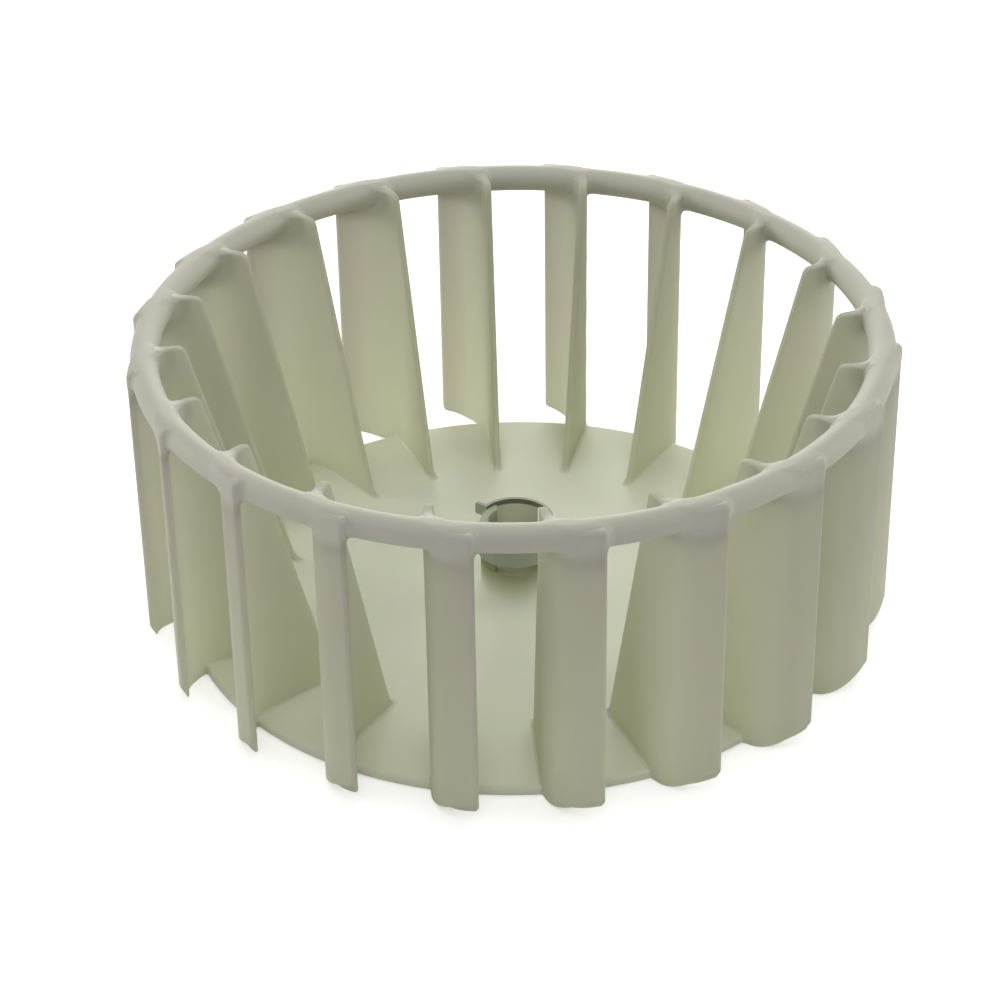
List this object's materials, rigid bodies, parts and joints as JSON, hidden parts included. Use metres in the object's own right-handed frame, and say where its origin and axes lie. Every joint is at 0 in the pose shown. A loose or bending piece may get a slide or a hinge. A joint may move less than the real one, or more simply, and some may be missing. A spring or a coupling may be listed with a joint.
{
  "type": "dryer blower wheel",
  "caption": "Moulded fan wheel for a tumble dryer: flat disc with a split clamped hub, curved upright blades and a round hoop at the open inlet end.",
  "frame": {"origin": "on the wheel's axis, at the plane of the disc's underside", "axes": "+Z along the wheel's axis towards the open inlet end; +X square to the flat of the D-shaped bore"},
  "size_m": [0.1772, 0.1772, 0.0745],
  "materials": {
    "ivory_plastic": "satin moulded ivory plastic, slightly translucent",
    "spring_steel": "dull grey spring steel"
  },
  "bodies": {
    "root": {"blower_wheel": "ivory_plastic", "hub_clamp": "spring_steel"}
  },
  "joints": []
}
